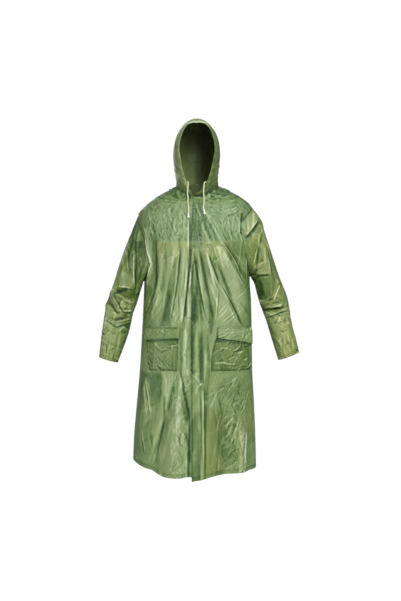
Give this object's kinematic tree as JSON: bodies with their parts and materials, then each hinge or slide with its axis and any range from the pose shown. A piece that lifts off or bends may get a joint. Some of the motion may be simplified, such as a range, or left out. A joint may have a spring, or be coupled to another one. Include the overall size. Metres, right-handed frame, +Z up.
{
  "type": "hooded raincoat",
  "caption": "Long-sleeved, knee-length hooded raincoat of thin semi-gloss green film, hollow as worn, with press-stud front, flapped patch pockets and hood drawcord ends.",
  "frame": {"origin": "midway between the points where the neck seam crosses the two shoulders, at shoulder height, where the wearer carries the coat", "axes": "+Z up, -Y the coat's front, +X the wearer's left"},
  "size_m": [0.834, 0.3227, 1.4918],
  "materials": {
    "neck_yoke": "semi-gloss, thin PVC film",
    "front_left": "semi-gloss, thin PVC film",
    "front_right": "semi-gloss, thin PVC film",
    "back": "semi-gloss, thin PVC film",
    "sleeve_left": "semi-gloss, thin PVC film",
    "sleeve_right": "semi-gloss, thin PVC film",
    "hood_left": "semi-gloss, thin PVC film",
    "hood_right": "semi-gloss, thin PVC film",
    "pocket_left": "semi-gloss, thin PVC film",
    "pocket_right": "semi-gloss, thin PVC film",
    "flap_left": "semi-gloss, thin PVC film",
    "flap_right": "semi-gloss, thin PVC film",
    "press_stud": "semi-gloss moulded plastic",
    "drawcord": "braided cord",
    "cord_tip": "satin moulded plastic"
  },
  "bodies": {
    "root": {"neck_yoke": "neck_yoke", "front_left": "front_left", "front_right": "front_right", "back": "back", "sleeve_left": "sleeve_left", "sleeve_right": "sleeve_right", "hood_left": "hood_left", "hood_right": "hood_right", "pocket_left": "pocket_left", "pocket_right": "pocket_right", "flap_left": "flap_left", "flap_right": "flap_right", "press_stud_1": "press_stud", "press_stud_2": "press_stud", "press_stud_3": "press_stud", "press_stud_4": "press_stud", "press_stud_5": "press_stud", "drawcord_left": "drawcord", "drawcord_right": "drawcord", "cord_tip_left": "cord_tip", "cord_tip_right": "cord_tip"}
  },
  "joints": []
}
